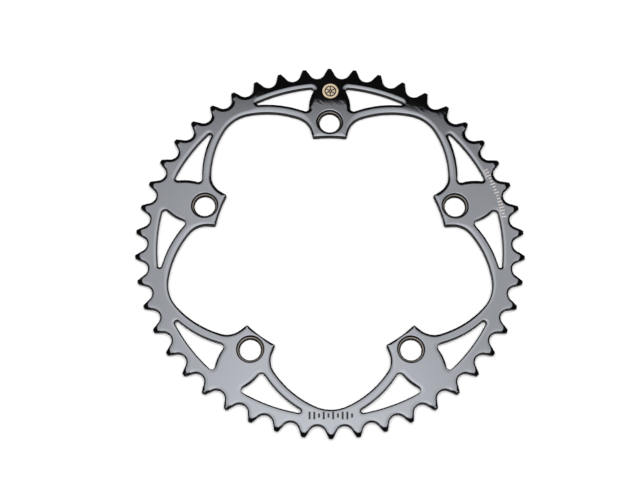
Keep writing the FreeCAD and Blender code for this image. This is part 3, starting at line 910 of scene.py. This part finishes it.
def mottled_material(name, group, sizes, tints, roughness, constants, height=None):
    """Material with uneven colour and roughness, and with waves if they have a height."""
    material, tree, shader = new_material(name)
    mottling = tree.nodes.new("ShaderNodeGroup")
    mottling.node_tree = group
    for socket, size in zip(("Wave size", "Blotch size"), sizes):
        mottling.inputs[socket].default_value = size
    blotches = mottling.outputs["Blotches"]
    tree.links.new(tinted(tree, blotches, tints), shader.inputs["Base Color"])
    uneven = mapped(tree, blotches, NOISE_RANGE, roughness)
    tree.links.new(uneven, shader.inputs["Roughness"])
    if height is not None:
        relief = bumped(tree, mottling.outputs["Height"], height)
        tree.links.new(relief, shader.inputs["Normal"])
    for socket, value in constants.items():
        shader.inputs[socket].default_value = value
    return material


# Printed marks, all plain shapes: a round badge with a spoked wheel, and two rows of
# strokes. Steps between strokes are in degrees along the rim and in millimetres lower
# down. Prints rise one thickness of ink above the face per layer, and start as far
# below it. The wheel lies on the badge.
BADGE_PLACE = (0.4, 81.9)
BADGE_RADIUS = 4.05
BADGE_RING = (2.35, 3.05)
BADGE_HUB = (0.3, 1.05)
SPOKE_COUNT = 6
SPOKE_WIDTH = 0.6
SPOKE_OVERLAP = 0.1
BADGE_STEPS = 64
RING_STEPS = 36
HUB_STEPS = 18
RIM_STROKES_RADIUS = 86.7
RIM_STROKES_START = 26.6
RIM_STROKES_END = 9.4
RIM_STROKES_STEP = 1.07
RIM_STROKE_WIDTH = 0.62
RIM_STROKE_LENGTHS = (2.4, 2.4, 1.5)
LOWER_STROKES_RADIUS = 84.4
LOWER_STROKES_HALF_ROW = 10.0
LOWER_STROKES_STEP = 2.2
LOWER_STROKE_WIDTH = 0.95
LOWER_STROKE_LENGTHS = (3.6, 3.6, 2.0)
STROKES_SEED = 46
INK_THICKNESS = 0.012
FIRST_LAYER = 1
SECOND_LAYER = 2

# Places of the inks in the marks' list of materials
LIGHT_INK = 0
DARK_INK = 1
PALE_INK = 2


class Print:
    """Thin flat patches lying on the front face, in several inks."""

    def __init__(self):
        self.vertices, self.faces, self.inks = [], [], []

    def patch(self, corners, layer, ink):
        """A patch with upright sides; corners run anticlockwise."""
        start, count = len(self.vertices), len(corners)
        for height in (THICKNESS - INK_THICKNESS, THICKNESS + INK_THICKNESS * layer):
            self.vertices += [(x * MM, y * MM, height * MM) for x, y in corners]
        self.faces.append([start + count + number for number in range(count)])
        self.faces.append([start + number for number in reversed(range(count))])
        for number in range(count):
            near, far = start + number, start + (number + 1) % count
            self.faces.append((near, far, far + count, near + count))
        self.inks += [ink] * (count + 2)

    def bar(self, middle, along, length, width, layer, ink):
        """A straight stroke."""
        along = np.array(along)
        aside = np.array([-along[1], along[0]])
        signs = ((-1, -1), (1, -1), (1, 1), (-1, 1))
        corners = [
            np.array(middle) + along * a * length / 2 + aside * b * width / 2
            for a, b in signs
        ]
        self.patch(corners, layer, ink)

    def ring(self, centre, radii, layer, ink, steps):
        """A ring between an inner and an outer radius."""
        inner, outer = radii
        turns = full_turn(steps)
        for one, two in zip(turns, turns[1:] + turns[:1]):
            corners = [
                centre + one * inner, centre + one * outer,
                centre + two * outer, centre + two * inner,
            ]
            self.patch(corners, layer, ink)

    def object(self, name, materials):
        """Blender object in metres."""
        thing = mesh_object(name, self.vertices, self.faces, materials)
        thing.data.polygons.foreach_set("material_index", self.inks)
        thing.data.update()
        return thing


def printed_marks(materials):
    """The badge, the strokes along the rim and the strokes at the bottom, as one mesh."""
    marks = Print()
    centre = np.array(BADGE_PLACE)
    badge = [centre + turn * BADGE_RADIUS for turn in full_turn(BADGE_STEPS)]
    marks.patch(badge, FIRST_LAYER, LIGHT_INK)
    marks.ring(centre, BADGE_RING, SECOND_LAYER, DARK_INK, RING_STEPS)
    marks.ring(centre, BADGE_HUB, SECOND_LAYER, DARK_INK, HUB_STEPS)
    length = BADGE_RING[0] - BADGE_HUB[1] + SPOKE_OVERLAP
    for number in range(SPOKE_COUNT):
        along = direction(90 + 360 / SPOKE_COUNT * number)
        middle = centre + along * (BADGE_RING[0] + BADGE_HUB[1]) / 2
        marks.bar(middle, along, length, SPOKE_WIDTH, SECOND_LAYER, DARK_INK)

    draw = random.Random(STROKES_SEED)
    for angle in np.arange(RIM_STROKES_START, RIM_STROKES_END, -RIM_STROKES_STEP):
        outward = direction(angle)
        middle = outward * RIM_STROKES_RADIUS
        length = draw.choice(RIM_STROKE_LENGTHS)
        marks.bar(middle, outward, length, RIM_STROKE_WIDTH, FIRST_LAYER, PALE_INK)
    half = LOWER_STROKES_HALF_ROW
    for across in np.arange(-half, half, LOWER_STROKES_STEP):
        middle = (across, -LOWER_STROKES_RADIUS)
        length = draw.choice(LOWER_STROKE_LENGTHS)
        marks.bar(middle, (0.0, 1.0), length, LOWER_STROKE_WIDTH, FIRST_LAYER, DARK_INK)
    return marks.object("printed_marks", materials)


# Camera: the photograph's, in metres, with its turns about X, Y and Z in radians. Its
# shift is in shares of the picture's width.
CAMERA_PLACE = (-11.43 * MM, -192.05 * MM, 577.53 * MM)
CAMERA_TURNS = (-0.3256, 0.0110, -0.0018)
CAMERA_LENS = 69.86
PICTURE_WIDTH = 640
CAMERA_SHIFT = (-0.5 / PICTURE_WIDTH, 0.1 / PICTURE_WIDTH)
SENSOR_WIDTH = 36.0
NEAREST_SEEN = 0.01
FARTHEST_SEEN = 20.0


def photograph_camera():
    """The camera that sees the ring as the photograph does."""
    camera = bpy.data.cameras.new("photo_camera")
    camera.lens = CAMERA_LENS
    camera.sensor_width = SENSOR_WIDTH
    camera.clip_start = NEAREST_SEEN
    camera.clip_end = FARTHEST_SEEN
    camera.shift_x, camera.shift_y = CAMERA_SHIFT
    holder = bpy.data.objects.new("photo_camera", camera)
    about_x, about_y, about_z = (
        Matrix.Rotation(turn, 3, axis) for turn, axis in zip(CAMERA_TURNS, "XYZ")
    )
    camera_to_world = (about_z @ about_y @ about_x).transposed()
    holder.matrix_world = Matrix.Translation(CAMERA_PLACE) @ camera_to_world.to_4x4()
    bpy.context.scene.collection.objects.link(holder)
    bpy.context.scene.camera = holder


# Studio: a white floor, and one wide soft panel overhead whose far edge the ring mirrors.
# Lengths are in metres.
FLOOR_SIZE = 6.0
PANEL_HEIGHT = 1.0
PANEL_SOUTH = -0.44
PANEL_HALF_WIDTH = 0.6
PANEL_FAR_EDGE = [
    (0.6, 0.44), (0.45, 0.47), (0.2, 0.513), (0.15, 0.5285),
    (0.127, 0.5335), (0.017, 0.54), (-0.113, 0.549), (-0.6, 0.551),
]
PANEL_STRENGTH = 6.9

# Brightness of the panel away from its middle: distance to either side, and northwards
# with a slant, as its far edge has.
PANEL_SIDES = [
    (0.0, 1.0), (0.09, 0.93), (0.15, 0.81), (0.21, 0.7), (0.27, 0.68), (0.6, 0.62),
]
PANEL_NORTHWARDS = [
    (-0.44, 0.8), (-0.1, 1.1), (0.1, 1.0), (0.18, 0.92), (0.23, 0.83), (0.375, 0.77),
    (0.43, 0.7), (0.475, 0.56), (0.512, 0.41), (0.53, 0.32), (0.545, 0.26), (0.56, 0.22),
]
PANEL_SLANT = 0.06
FLOOR_GLOW = 0.04
FLOOR_TINT = 0.83

# The room around the panel is dark. Its glow fades while a direction rises this far.
ROOM_RISE = (0.03, 0.15)
ROOM_GLOW = (0.1, 0.02)
WHITE = (1.0, 1.0, 1.0, 1.0)


def sheet(name, corners, material):
    """A flat sheet of the studio with the given corners."""
    thing = mesh_object(name, corners, [range(len(corners))], [material])
    return thing


def floor_material():
    """Matt white that glows for the camera and reflections, and that keeps a shadow."""
    material, tree, shader = new_material("white_floor")
    nodes, links = tree.nodes, tree.links
    shader.inputs["Base Color"].default_value = (FLOOR_TINT, FLOOR_TINT, FLOOR_TINT, 1.0)
    shader.inputs["Roughness"].default_value = 1.0
    shader.inputs["Specular IOR Level"].default_value = 0.0
    rays = nodes.new("ShaderNodeLightPath").outputs
    seen = maths(tree, "ADD", rays["Is Camera Ray"], rays["Is Glossy Ray"], clamp=True)
    seen = maths(tree, "ADD", seen, rays["Is Transmission Ray"], clamp=True)
    choose = nodes.new("ShaderNodeMixShader")
    links.new(seen, choose.inputs[0])
    for socket, strength in zip(choose.inputs[1:], (0.0, FLOOR_GLOW)):
        glow = nodes.new("ShaderNodeEmission")
        glow.inputs["Color"].default_value = WHITE
        glow.inputs["Strength"].default_value = strength
        links.new(glow.outputs[0], socket)
    both = nodes.new("ShaderNodeAddShader")
    links.new(shader.outputs[0], both.inputs[0])
    links.new(choose.outputs[0], both.inputs[1])
    links.new(both.outputs[0], nodes["Material Output"].inputs["Surface"])
    return material


def brightness_along(tree, distance, stops):
    """A value that runs straight between stops of distance and value."""
    start, end = stops[0][0], stops[-1][0]
    most = max(value for _, value in stops)
    ramp = tree.nodes.new("ShaderNodeValToRGB")
    elements = ramp.color_ramp.elements
    while len(elements) < len(stops):
        elements.new(0.5)
    for element, (place, _) in zip(elements, stops):
        element.position = (place - start) / (end - start)
    for element, (_, value) in zip(elements, stops):
        element.color = (value / most, value / most, value / most, 1.0)
    share = mapped(tree, distance, (start, end), (0.0, 1.0))
    tree.links.new(share, ramp.inputs["Fac"])
    return maths(tree, "MULTIPLY", ramp.outputs["Color"], most)


def panel_material():
    """Glow of the overhead panel, brightest above the ring and dimmer away from it."""
    material, tree, shader = new_material("soft_panel")
    nodes, links = tree.nodes, tree.links
    nodes.remove(shader)
    split = nodes.new("ShaderNodeSeparateXYZ")
    links.new(nodes.new("ShaderNodeTexCoord").outputs["Object"], split.inputs[0])
    east, north = split.outputs["X"], split.outputs["Y"]
    slanted = maths(tree, "MULTIPLY_ADD", east, PANEL_SLANT, north)
    sideways = brightness_along(tree, maths(tree, "ABSOLUTE", east), PANEL_SIDES)
    northwards = brightness_along(tree, slanted, PANEL_NORTHWARDS)
    brightness = maths(tree, "MULTIPLY", sideways, northwards)
    glow = nodes.new("ShaderNodeEmission")
    glow.inputs["Color"].default_value = WHITE
    strength = maths(tree, "MULTIPLY", brightness, PANEL_STRENGTH)
    links.new(strength, glow.inputs["Strength"])
    links.new(glow.outputs[0], nodes["Material Output"].inputs["Surface"])
    return material


def dark_room():
    """World that is white to the camera and nearly dark to everything else."""
    world = bpy.data.worlds.new("studio_room")
    bpy.context.scene.world = world
    world.use_nodes = True
    tree = world.node_tree
    split = tree.nodes.new("ShaderNodeSeparateXYZ")
    place = tree.nodes.new("ShaderNodeTexCoord")
    tree.links.new(place.outputs["Generated"], split.inputs[0])
    fade = mapped(tree, split.outputs["Z"], ROOM_RISE, ROOM_GLOW)
    rays = tree.nodes.new("ShaderNodeLightPath")
    white = maths(tree, "MAXIMUM", fade, rays.outputs["Is Camera Ray"])
    background = tree.nodes["Background"]
    background.inputs["Color"].default_value = WHITE
    tree.links.new(white, background.inputs["Strength"])


def studio():
    """Floor, panel and room."""
    half = FLOOR_SIZE / 2
    floor_corners = [(-half, -half), (half, -half), (half, half), (-half, half)]
    sheet("white_floor", [(*corner, 0.0) for corner in floor_corners], floor_material())
    near_edge = [(-PANEL_HALF_WIDTH, PANEL_SOUTH), (PANEL_HALF_WIDTH, PANEL_SOUTH)]
    panel_corners = [(*corner, PANEL_HEIGHT) for corner in near_edge + PANEL_FAR_EDGE]
    panel = sheet("soft_panel", panel_corners, panel_material())
    panel.visible_camera = False
    dark_room()


waves = mottling_group()
finishes = [mottled_material(name, waves, **look) for name, look in FINISHES.items()]
ring = chainring_plate(finishes)
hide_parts("chainring")
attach(ring, "root")

inks = [
    mottled_material(name, waves, tints=tints, **INK)
    for name, tints in INK_TINTS.items()
]
marks = printed_marks(inks)
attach(marks, "root")

photograph_camera()
studio()
bpy.context.scene.view_settings.view_transform = "Standard"
